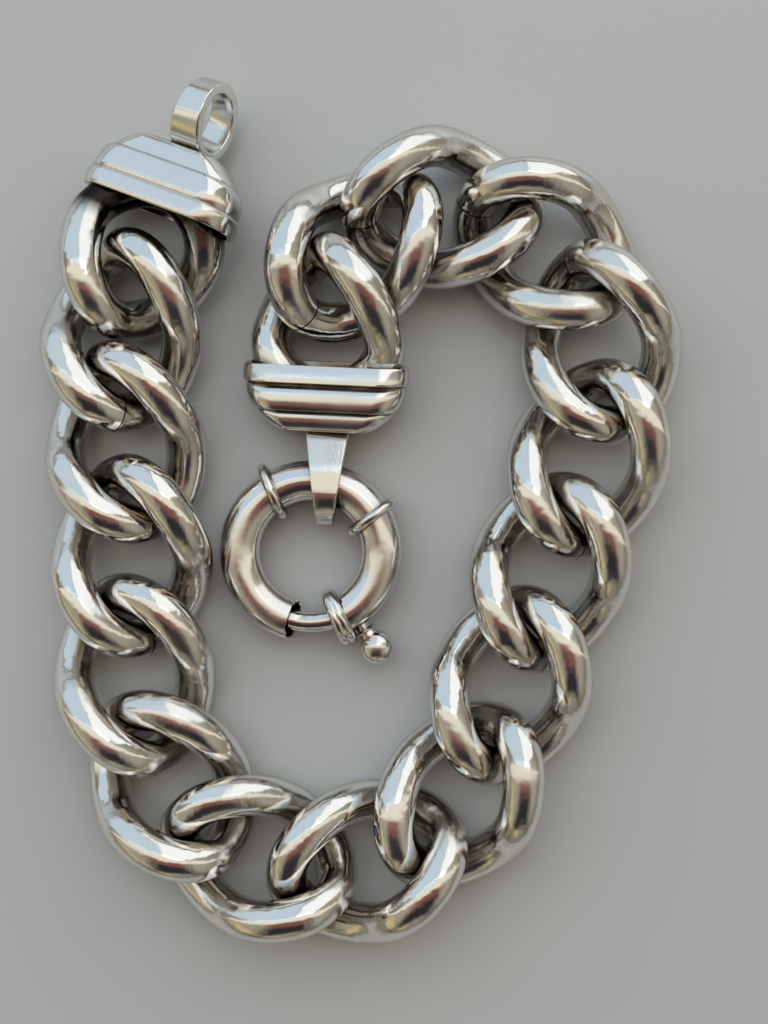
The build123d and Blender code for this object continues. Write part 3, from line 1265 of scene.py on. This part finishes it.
@dataclass
class BoltRing:
    """The hollow ring of tube with its collars, cut mouth and thumb slot.

    Attributes:
        line: The tube's middle line.
        tube: Diameter of the tube.
        wall: Thickness of its wall.
        near_mouth: Angle of the mouth on the bolt's side, from the bail, counter-clockwise.
        far_mouth: Angle of the mouth's other side.
        mouth_slant: How far its far side is cut aslant, in degrees.
        spare: How much longer the tube is before that cut, in degrees.
        worn_edge: Rounding of the tube's edges.
        collar_wire: Thickness of a collar.
        collar_reach: Radius of a collar's middle line round the tube.
        collars: Angle of each collar and how far it is askew, in degrees.
        bush: Diameter of the bush in the tube's mouth.
        bush_bore: Diameter of the hole in it.
        bush_length: Its length.
        bush_setback: How far it is behind the mouth, in degrees.
        slot_start: Angle where the thumb slot starts.
        slot_sweep: How far it goes.
        slot_slack: How far its round ends reach past that, in degrees.
        slot_half: Half its width.
        silver: The finish.
    """

    line: RingLine
    tube: float = 4.0
    wall: float = 0.30
    near_mouth: float = -147.0
    far_mouth: float = 178.0
    mouth_slant: float = 15.0
    spare: float = 6.0
    worn_edge: float = 0.07
    collar_wire: float = 1.0185
    collar_reach: float = 2.495
    collars: tuple[tuple[float, float], ...] = ((45.0, -9.0), (-48.0, 7.0), (-142.2, 2.0), (-146.4, 2.0))
    bush: float = 3.402
    bush_bore: float = 2.1
    bush_length: float = 0.8
    bush_setback: float = 1.0
    slot_start: float = -133.0
    slot_sweep: float = 40.0
    slot_slack: float = 7.0
    slot_half: float = 0.88
    silver: Silver = Silver("ring silver", dent_depth=0.10, polish=0.12, smudge=0.28)

    def bend_tube(self) -> Piece:
        """Bend the tube, open its slot, give it its wall and paint shade on the inside of the wall.

        Returns:
            The tube in the ring's own frame.
        """
        start = self.near_mouth
        piece = Bench.ring(self.line.spot(start), self.line.along(start), self.tube / 2 * MM, sides=48)
        piece.name = "ring_tube"
        sweep = math.radians(self.far_mouth + self.spare - start)
        with Bench.editing(piece):
            bpy.ops.mesh.select_all(action="SELECT")
            Bench.spin(Vector(), Vector((0, 0, 1)), sweep, steps=166)
            self.cut_aslant(piece)
            Bench.face_out()
            Bench.pick(piece, self.in_slot)
            bpy.ops.mesh.select_mode(type="FACE")
            bpy.ops.mesh.delete(type="FACE")
            bpy.ops.mesh.select_mode(type="VERT")
        Bench.apply(piece, "SOLIDIFY", thickness=self.wall * MM, offset=-1.0, use_even_offset=True)
        Bench.ease_edges(piece, self.worn_edge, segments=2, angle=50)
        # Painted shade: the tube's inner wall is blackened.
        Bench.blacken(piece, self.inner_wall_shade)
        return piece

    def inner_wall_shade(self, point: Vector) -> float:
        """Tell how much painted shade a point of the tube gets, by how far inside its wall it is.

        Args:
            point: The point, in the ring's own frame.

        Returns:
            1 on the inner wall, and less from there to 0 in the middle of the wall.
        """
        out = math.hypot(point.x, point.y) - self.line.radius * MM
        depth = (self.tube / 2 - math.hypot(out, point.z) / MM) / self.wall
        return clamped(2 * depth - 1)

    def cut_aslant(self, piece: Piece) -> None:
        """Cut the tube's far mouth aslant, so that its inside shows from above.

        Args:
            piece: The tube in edit mode, a little longer than it should be.
        """
        centre = self.line.spot(self.far_mouth)
        lean = math.radians(self.mouth_slant)
        normal = self.line.along(self.far_mouth) * math.cos(lean) + Vector((0, 0, math.sin(lean)))
        reach = 1.3 * self.tube * MM
        Bench.pick(piece, lambda point: (point - centre).length < reach)
        bpy.ops.mesh.bisect(plane_co=centre, plane_no=normal, clear_outer=True)

    def in_slot(self, point: Vector) -> bool:
        """Tell whether a point of the tube lies in its thumb slot.

        Args:
            point: The point, in the ring's own frame.

        Returns:
            Whether it does.
        """
        angle = math.degrees(math.atan2(point.y, point.x)) - 90
        angle = (angle + 360) % 360 - 360
        end = self.slot_start + self.slot_sweep
        inside = self.slot_start - self.slot_slack < angle < end + self.slot_slack
        outer = math.hypot(point.x, point.y) > self.line.radius * MM
        return inside and outer and abs(point.z) < self.slot_half * MM

    def make_collar(self, angle: float, askew: float) -> Piece:
        """Make a collar round the tube.

        Args:
            angle: Where it sits.
            askew: How far it is turned out of square.

        Returns:
            The collar in the ring's own frame.
        """
        centre = self.line.spot(angle)
        way = Matrix.Rotation(math.radians(askew), 3, "Z") @ self.line.along(angle)
        side = Vector((0, 0, 1)).cross(way)
        middle = centre + side * self.collar_reach * MM
        piece = Bench.ring(middle, Vector((0, 0, 1)), self.collar_wire / 2 * MM, sides=20)
        piece.name = "ring_collar"
        Bench.spin_round(piece, centre, way, steps=64)
        return piece

    def make_bush(self) -> Piece:
        """Make the bush that narrows the tube's mouth to the bolt.

        Returns:
            The bush in the ring's own frame.
        """
        piece = Bench.ring(Vector(), Vector((1, 0, 0)), self.bush_bore / 2 * MM, sides=36)
        piece.name = "ring_bush"
        share = self.bush / self.bush_bore
        with Bench.editing(piece):
            bpy.ops.mesh.select_all(action="SELECT")
            Bench.draw_out(Vector(), Vector((1, share, share)), Vector())
            bpy.ops.mesh.select_all(action="SELECT")
            bpy.ops.mesh.extrude_region_move(TRANSFORM_OT_translate={"value": mm(self.bush_length, 0, 0)})
            Bench.face_out()
        angle = self.near_mouth + self.bush_setback
        turn = self.line.along(angle).to_track_quat("X", "Z").to_matrix().to_4x4()
        Bench.place(piece, Matrix.Translation(self.line.spot(angle)) @ turn)
        return piece

    def build(self) -> None:
        """Make the ring and dress it."""
        parts = [self.bend_tube(), self.make_bush()]
        parts += [self.make_collar(angle, askew) for angle, askew in self.collars]
        piece = Bench.join(parts)
        piece.name = "bolt_ring_tube"
        Bench.place(piece, self.line.lie.frame())
        Bench.smooth(piece, angle=40)
        dress(piece, self.silver.build(), Body.RING, Slot.RING, "bolt_ring")


@dataclass
class SlidingBolt:
    """The curved bolt that closes the ring's mouth, with its plunger, stem and knob.

    Attributes:
        line: The bolt's middle line.
        wire: Diameter of the bolt.
        tip: Angle of its tip from the bail.
        stem_angle: Angle of its stem.
        plunger: Diameter of its plunger.
        plunger_start: Angle where the plunger starts.
        plunger_end: Angle where it ends.
        worn_edge: Rounding of the bolt's and the plunger's edges.
        stem: Diameter of the stem.
        neck: Distance from the ring's middle and radius of each step of the knob's neck.
        knob: Diameter of the knob.
        knob_distance: Distance of the knob from the ring's middle.
        knob_height: Height of the knob as a share of its diameter.
        knob_flat: Distance of its flat end and radius of that end, as shares of its own radius.
        knob_steps: Steps of a ball's outline from pole to pole.
        knob_first: The step that the knob's outline starts with, after its neck.
        silver: The finish.
    """

    line: RingLine
    wire: float = 1.95
    tip: float = -187.0
    stem_angle: float = -133.0
    plunger: float = 2.96
    plunger_start: float = -137.0
    plunger_end: float = -125.0
    worn_edge: float = 0.16
    stem: float = 1.3
    neck: tuple[tuple[float, float], ...] = ((9.3, 0.65), (9.45, 1.118), (9.7, 0.80))
    knob: float = 3.3
    knob_distance: float = 11.5
    knob_height: float = 0.9
    knob_flat: tuple[float, float] = (0.955, 0.30)
    knob_steps: int = 16
    knob_first: int = 3
    silver: Silver = Silver("bolt silver", polish=0.09, smudge=0.25)

    def bend_bar(self, name: str, diameter: float, start: float, end: float, steps: int) -> Piece:
        """Bend a closed round bar along the ring.

        Args:
            name: The bar's name.
            diameter: Its diameter.
            start: Angle of its start from the bail.
            end: Angle of its end.
            steps: Rings along it.

        Returns:
            The bar in the ring's own frame.
        """
        piece = Bench.ring(self.line.spot(start), self.line.along(start), diameter / 2 * MM, sides=32)
        piece.name = name
        with Bench.editing(piece):
            bpy.ops.mesh.select_all(action="SELECT")
            bpy.ops.mesh.edge_face_add()
            Bench.spin(Vector(), Vector((0, 0, 1)), math.radians(end - start), steps)
            Bench.face_out()
        Bench.ease_edges(piece, self.worn_edge, segments=3, angle=50)
        return piece

    def make_knob(self) -> Piece:
        """Turn the stem, its neck and its worn ball knob.

        Returns:
            The knob in the ring's own frame.
        """
        ball = self.knob / 2
        stations = [(self.line.radius, self.stem / 2), *self.neck]
        for step in range(self.knob_first, self.knob_steps - 1):
            angle = math.pi * step / self.knob_steps
            stations.append((self.knob_distance - ball * math.cos(angle), ball * math.sin(angle)))
        flat_distance, flat_radius = self.knob_flat
        stations.append((self.knob_distance + flat_distance * ball, flat_radius * ball))
        piece = Bench.turn_profile("bolt_knob", sides=32, stations=stations)
        neck_end = (self.neck[-1][0] + 0.1) * MM
        with Bench.editing(piece):
            Bench.pick(piece, lambda point: point.x > neck_end)
            bpy.ops.transform.resize(value=(1, 1, self.knob_height), center_override=(0, 0, 0))
        Bench.place(piece, Matrix.Rotation(math.radians(90 + self.stem_angle), 4, "Z"))
        return piece

    def build(self) -> None:
        """Make the bolt and dress it."""
        bar = self.bend_bar("bolt_bar", self.wire, self.tip, self.stem_angle, steps=36)
        plunger = self.bend_bar("bolt_plunger", self.plunger, self.plunger_start, self.plunger_end, steps=8)
        piece = Bench.join([bar, plunger, self.make_knob()])
        piece.name = "sliding_bolt"
        Bench.place(piece, self.line.lie.frame())
        Bench.smooth(piece, angle=40)
        dress(piece, self.silver.build(), Body.BOLT, Slot.BOLT, "ring_bolt")


@dataclass
class ChainEnds:
    """The two capped ends: the eye's end and the bail's end.

    Attributes:
        link: The curb link that both ends are made from.
        eye_lie: How the first link lies.
        clasp_lie: How the last link lies.
        bail_lie: How the bail lies.
        capped_half: Half length of a link on its capped side.
        capped_slope: Slope at mid-strand of a capped link, in degrees.
        eye_twist: Twist of the first link at its cap, in degrees.
        clasp_twist: Twist of the last link at its cap, in degrees.
        eye_setback: How far the eye cap's mouth is behind its link's middle.
        clasp_setback: The same for the clasp cap.
        eye_distance: How far the eye's middle is behind its cap's mouth.
        eye_offset: How far the eye is left of its cap's middle.
        mouth_shade_reach: How far the painted shade reaches out of the eye cap's mouth.
        open_side: How far right of the mouth's middle its open side, with deeper painted shade, starts.
        open_fade: How far left of there the mouth is fully open.
        silver: The finish.
    """

    link: CurbLink
    eye_lie: Lie = Lie(spot=(-21.025, 26.307, 5.261), heading=-113, nose=0, roll=-7)
    clasp_lie: Lie = Lie(spot=(-3.294, 17.124, 5.094), heading=-92, nose=-11, roll=20)
    bail_lie: Lie = Lie(spot=(-3.312, 7.990, 3.270), heading=-92)
    capped_half: float = 5.4
    capped_slope: float = 34.0
    eye_twist: float = 26.0
    clasp_twist: float = 14.0
    eye_setback: float = 3.2
    clasp_setback: float = 2.7
    eye_distance: float = 10.0
    eye_offset: float = -0.9
    mouth_shade_reach: float = 3.2
    open_side: float = 4.0
    open_fade: float = 3.0
    silver: Silver = Silver("fitting silver", dent_depth=0.07, polish=0.12, smudge=0.26)

    def end_link(self, name: str, lie: Lie, twist: float, capped_front: bool) -> Piece:
        """Bend an end link, short on its capped side, and lay it.

        Args:
            name: The piece's name.
            lie: How it lies.
            twist: Its twist at the cap, in degrees.
            capped_front: Whether the cap is over its front half.

        Returns:
            The link.
        """
        link = self.link
        slope = math.radians(self.capped_slope)
        full = link.quarter(link.half_length, link.tip_angle, slope)
        short = link.quarter(self.capped_half, math.radians(twist), slope)
        arcs = link.path(short, full) if capped_front else link.path(full, short)
        piece = link.bend(name, arcs)
        Bench.place(piece, lie.frame())
        link.wear(piece)
        Bench.smooth(piece)
        return piece

    def eye_mouth(self) -> Matrix:
        """Return the frame of the eye cap's mouth, with X into the cap."""
        twist = Matrix.Rotation(math.radians(self.eye_twist), 4, "X")
        return self.eye_lie.frame() @ twist @ Matrix.Rotation(math.pi, 4, "Z") @ shifted(self.eye_setback)

    def clasp_mouth(self) -> Matrix:
        """Return the frame of the clasp cap's mouth, with X into the cap."""
        twist = Matrix.Rotation(math.radians(-self.clasp_twist), 4, "X")
        return self.clasp_lie.frame() @ twist @ shifted(self.clasp_setback)

    def mouth_shade(self, mouth: Matrix) -> Callable[[Vector], float]:
        """Tell how much painted shade the first link gets, most under the open left side of its cap's rim.

        Args:
            mouth: The frame of the cap's mouth.

        Returns:
            What gives the share of painted shade at a place, from 0 to 1.
        """
        into_mouth = mouth.inverted()

        def share(point: Vector) -> float:
            """Tell how much painted shade a place gets.

            Args:
                point: The place.

            Returns:
                The share of painted shade.
            """
            ahead, left, _ = into_mouth @ point / MM
            depth = 1 + ahead / self.mouth_shade_reach
            return clamped(depth * (1 + clamped((left + self.open_side) / self.open_fade)))

        return share

    def build(self, link_finish: bpy.types.Material) -> None:
        """Make both ends and dress them.

        Args:
            link_finish: The finish of the chain's links.
        """
        finish = self.silver.build()
        eye_mouth = self.eye_mouth()
        first = self.end_link("curb_link_01", self.eye_lie, self.eye_twist, False)
        last = self.end_link("curb_link_17", self.clasp_lie, self.clasp_twist, True)
        # Painted shade: the first link is blackened where it runs into the eye cap's mouth.
        Bench.blacken(first, self.mouth_shade(eye_mouth))
        dress(first, link_finish, Body.CHAIN, Slot.LINK, "eye_end")
        dress(last, link_finish, Body.CHAIN, Slot.LINK, "clasp_end")
        eye_cap = EndCap.for_eye().build("eye_cap", eye_mouth)
        dress(eye_cap, finish, Body.CHAIN, Slot.FITTING, "eye_end")
        clasp_cap = EndCap().build("clasp_cap", self.clasp_mouth())
        dress(clasp_cap, finish, Body.CHAIN, Slot.FITTING, "clasp_end")
        loop = EyeLoop().build("eye_loop", eye_mouth @ shifted(self.eye_distance, self.eye_offset))
        dress(loop, finish, Body.CHAIN, Slot.FITTING, "eye_end")
        bail = Bail().build("bail", self.bail_lie.frame())
        dress(bail, finish, Body.CHAIN, Slot.FITTING, "clasp_end")


@dataclass(frozen=True)
class Sight:
    """Where a reflection looks, as sockets of the room's nodes.

    Attributes:
        east: How far east, as part of a direction of length 1.
        north: How far north.
        up: How far up.
        fall: Distance northwards over height, of what is seen there.
        aside: Distance eastwards over distance northwards.
    """

    east: Socket
    north: Socket
    up: Socket
    fall: Socket
    aside: Socket

    @classmethod
    def of(cls, wires: Wiring) -> "Sight":
        """Read the direction of sight from the world's coordinates.

        Args:
            wires: The room's nodes.

        Returns:
            The direction and its slopes.
        """
        way = wires.add("ShaderNodeTexCoord").outputs["Generated"]
        split = wires.add("ShaderNodeSeparateXYZ", Vector=way).outputs
        east, north, up = split["X"], split["Y"], split["Z"]
        # What divides is held off zero.
        least = 0.02
        fall = wires.reckon("DIVIDE", north, wires.reckon("MAXIMUM", up, least))
        aside = wires.reckon("DIVIDE", east, wires.reckon("MAXIMUM", north, least))
        return cls(east, north, up, fall, aside)


@dataclass(frozen=True)
class Room:
    """The room round the table: a tall window to the north, pale walls and a dim corner.

    What stands to the north is placed by its fall, the distance northwards over height, and by
    its side, the distance eastwards over distance northwards. The rest is placed by how far east,
    north and up a direction of length 1 goes.

    Attributes:
        window_top: Fall at the window's top.
        window_sill: Fall at its sill.
        window_left: Side of its left edge.
        window_right: Side of its right edge.
        edge_blur: Half the width that its top fades over.
        side_blur: Half the width that its sides fade over.
        sill_blur: Where it is clear above its sill, as a share of the sill's fall.
        bar: Side of the bar between its two panes.
        bar_width: Width of the bar, measured so.
        bar_light: What is left of the panes' light at the bar.
        cool_pane: Brightness of the left pane.
        white_pane: Brightness of the right pane.
        lit_edge: How much brighter the top edge of the panes is.
        lit_reach: How far below the window's top that light starts, and where it is full.
        ceiling: Brightness of the ceiling between the window and the corner.
        ceiling_middle: Fall at its middle.
        ceiling_reach: How far from there it starts, and where it is full.
        wall: Brightness of the walls.
        low_wall: Brightness of the walls near the floor.
        wall_rise: How far up they change from one to the other.
        golden: Brightness of the lit things low in the south-west.
        golden_corner: How far east plus north they start, and where they are full.
        golden_height: How far up their middle is.
        golden_reach: How far from that height they start, and where they are full.
        warm: Brightness of the dim corner's upper part.
        dim: Brightness of its lower part.
        dim_depth: How far north the one turns into the other.
        dim_middle: How far east the corner's middle is.
        dim_reach: How far from there it starts, and where it is full.
        dim_start: How far north it starts, and where it is full.
        dim_end: How far north it ends again, and where it is full.
    """

    window_top: float = 0.31
    window_sill: float = 9.0
    window_left: float = -3.2
    window_right: float = 1.5
    edge_blur: float = 0.02
    side_blur: float = 0.05
    sill_blur: float = 0.8
    bar: float = 0.02
    bar_width: float = 0.045
    bar_light: float = 0.35
    cool_pane: Colour = (0.53, 0.64, 0.73)
    white_pane: Colour = (0.98, 1.00, 0.99)
    lit_edge: float = 0.45
    lit_reach: Span = Span(0.16, 0.06)
    ceiling: Colour = (0.80, 0.75, 0.62)
    ceiling_middle: float = 0.15
    ceiling_reach: Span = Span(0.32, 0.08)
    wall: Colour = (0.34, 0.31, 0.245)
    low_wall: Colour = (0.20, 0.18, 0.14)
    wall_rise: Span = Span(0.05, 0.55)
    golden: Colour = (0.52, 0.43, 0.23)
    golden_corner: Span = Span(-0.90, -1.20)
    golden_height: float = 0.30
    golden_reach: Span = Span(0.15, 0.05)
    warm: Colour = (0.20, 0.085, 0.066)
    dim: Colour = (0.026, 0.024, 0.028)
    dim_depth: Span = Span(-0.24, -0.55)
    dim_middle: float = -0.02
    dim_reach: Span = Span(0.72, 0.30)
    dim_start: Span = Span(0.02, -0.13)
    dim_end: Span = Span(-0.97, -0.80)

    def surroundings(self, wires: Wiring, sight: Sight) -> Socket:
        """Paint the walls, the lit things in the south-west and the ceiling.

        Args:
            wires: The room's nodes.
            sight: Where a reflection looks.

        Returns:
            What is seen there.
        """
        walls = wires.mix(wires.fade(sight.up, self.wall_rise), self.low_wall, self.wall)
        corner = wires.fade(wires.reckon("ADD", sight.east, sight.north), self.golden_corner)
        band = wires.fade(wires.off(sight.up, self.golden_height), self.golden_reach)
        walls = wires.mix(wires.times(corner, band), walls, self.golden)
        overhead = wires.fade(wires.off(sight.fall, self.ceiling_middle), self.ceiling_reach)
        return wires.mix(overhead, walls, self.ceiling)

    def dim_corner(self, wires: Wiring, sight: Sight, behind: Socket) -> Socket:
        """Stand the dim corner in front of the rest, to the south.

        Args:
            wires: The room's nodes.
            sight: Where a reflection looks.
            behind: What is seen where the corner isn't.

        Returns:
            What is seen there.
        """
        figure = wires.mix(wires.fade(sight.north, self.dim_depth), self.warm, self.dim)
        narrow = wires.fade(wires.off(sight.east, self.dim_middle), self.dim_reach)
        south = wires.fade(sight.north, self.dim_start)
        low = wires.fade(sight.north, self.dim_end)
        return wires.mix(wires.times(narrow, south, low), behind, figure)

    def window(self, wires: Wiring, sight: Sight, behind: Socket) -> Socket:
        """Open the window to the north, with its two panes and the bar between them.

        Args:
            wires: The room's nodes.
            sight: Where a reflection looks.
            behind: What is seen where the window isn't.

        Returns:
            What is seen there.
        """
        halves = wires.fade(sight.aside, Span.around(self.bar, self.edge_blur / 2))
        panes = wires.mix(halves, self.cool_pane, self.white_pane)
        lit = Span(self.window_top + self.lit_reach.start, self.window_top + self.lit_reach.end)
        light = wires.add("ShaderNodeVectorMath", Vector=panes)
        light.operation = "SCALE"
        wires.feed(light.inputs["Scale"], wires.fade(sight.fall, lit, 1.0, 1.0 + self.lit_edge))
        inside = wires.times(
            wires.fade(sight.fall, Span.around(self.window_top, self.edge_blur)),
            wires.fade(sight.fall, Span(self.window_sill, self.sill_blur * self.window_sill)),
            wires.fade(sight.aside, Span.around(self.window_left, self.side_blur)),
            wires.fade(sight.aside, Span.around(self.window_right, -self.side_blur)),
        )
        core = 0.6 * self.bar_width
        clear = wires.fade(wires.off(sight.aside, self.bar), Span(core, self.bar_width))
        window = wires.times(inside, wires.reckon("MAXIMUM", clear, self.bar_light))
        return wires.mix(window, behind, light.outputs["Vector"])

    def build(self) -> None:
        """Build the room as the world's background."""
        world = bpy.data.worlds.new("room")
        bpy.context.scene.world = world
        world.use_nodes = True
        wires = Wiring(world.node_tree)
        sight = Sight.of(wires)
        room = self.surroundings(wires, sight)
        room = self.dim_corner(wires, sight, room)
        room = self.window(wires, sight, room)
        wires.feed(world.node_tree.nodes["Background"].inputs["Color"], room)


@dataclass
class Studio:
    """The floor, the light and the camera.

    Attributes:
        camera_spot: Where the camera stands, in millimetres.
        focal: Focal length of the lens in millimetres.
        sensor: Width of the camera's sensor in millimetres.
        nearest: How near the camera sees, in metres.
        floor_size: Side of the floor in metres.
        floor_grey: The floor's colour.
        floor_roughness: How dull its polish is.
        room: The room that lights it.
        fill_spot: Where the soft fill hangs, in metres.
        fill_size: Its side in metres.
        fill_power: Its power in watts.
    """

    camera_spot: tuple[float, float, float] = (2.23, 0.0, 151.2)
    focal: float = 52.73
    sensor: float = 36.0
    nearest: float = 0.005
    floor_size: float = 3.0
    floor_grey: tuple[float, float, float] = (0.66, 0.685, 0.71)
    floor_roughness: float = 0.24
    room: Room = Room()
    fill_spot: tuple[float, float, float] = (-0.35, 0.45, 0.85)
    fill_size: float = 1.0
    fill_power: float = 2.0

    def set_camera(self) -> None:
        """Stand the camera straight above the bracelet, looking down."""
        lens = bpy.data.cameras.new("camera")
        lens.sensor_width = self.sensor
        lens.lens = self.focal
        lens.clip_start = self.nearest
        camera = bpy.data.objects.new("camera", lens)
        camera.location = mm(*self.camera_spot)
        bpy.context.scene.collection.objects.link(camera)
        bpy.context.scene.camera = camera

    def lay_floor(self) -> None:
        """Lay the plain pale floor."""
        Bench.clear()
        bpy.ops.mesh.primitive_plane_add(size=self.floor_size, location=(0, 0, 0))
        floor = bpy.context.object
        floor.name = "floor"
        material = bpy.data.materials.new("pale floor")
        material.use_nodes = True
        shader = material.node_tree.nodes["Principled BSDF"]
        shader.inputs["Base Color"].default_value = (*self.floor_grey, 1.0)
        shader.inputs["Roughness"].default_value = self.floor_roughness
        floor.data.materials.append(material)

    def hang_fill(self) -> None:
        """Hang a large soft light over the table, which the silver doesn't mirror."""
        light = bpy.data.lights.new("soft fill", "AREA")
        light.size = self.fill_size
        light.energy = self.fill_power
        lamp = bpy.data.objects.new("soft fill", light)
        lamp.location = self.fill_spot
        lamp.rotation_euler = (-Vector(self.fill_spot)).to_track_quat("-Z", "Y").to_euler()
        lamp.visible_glossy = False
        bpy.context.scene.collection.objects.link(lamp)

    def build(self) -> None:
        """Set up the whole stage."""
        bpy.context.scene.view_settings.view_transform = "Standard"
        self.set_camera()
        self.lay_floor()
        self.room.build()
        self.hang_fill()


def main() -> None:
    """Load the frame, dress every node and set up the stage."""
    logging.basicConfig(level=logging.INFO, format="%(name)s %(message)s")
    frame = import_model()
    links = CurbLink()
    link_finish = links.silver.build()
    links.lay_all(frame["nodes"], link_finish)
    ChainEnds(links).build(link_finish)
    line = RingLine()
    BoltRing(line).build()
    SlidingBolt(line).build()
    Studio().build()


if __name__ == "__main__":
    main()
